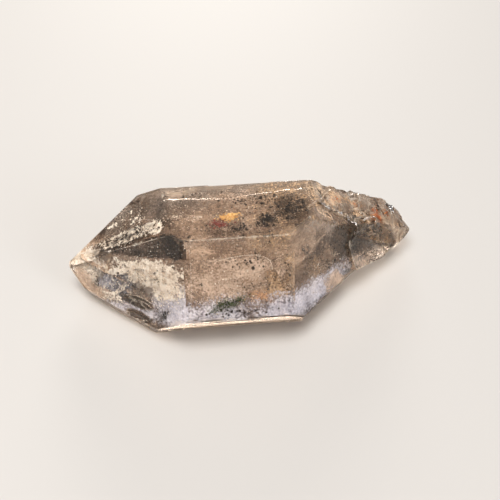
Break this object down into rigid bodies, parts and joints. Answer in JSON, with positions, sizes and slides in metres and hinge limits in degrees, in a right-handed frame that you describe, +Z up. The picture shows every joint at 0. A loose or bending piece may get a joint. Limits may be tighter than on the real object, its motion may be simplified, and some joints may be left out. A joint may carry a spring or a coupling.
{
  "type": "quartz point",
  "caption": "Clear, faintly smoky quartz crystal with flat prism faces, a pointed end and a rough, knobbly end, lying on one prism face.",
  "frame": {"origin": "centre of the bounding box at the height of the face that the crystal rests on", "axes": "+X along the crystal's length from the pointed end to the rough end, +Y away from the viewer, +Z up out of the resting face"},
  "size_m": [0.0514, 0.0216, 0.0154],
  "materials": {
    "quartz": "clear to milky, faintly smoky, glossy flat faces with frosted and pitted patches"
  },
  "bodies": {
    "root": {"quartz_crystal": "quartz"}
  },
  "joints": []
}
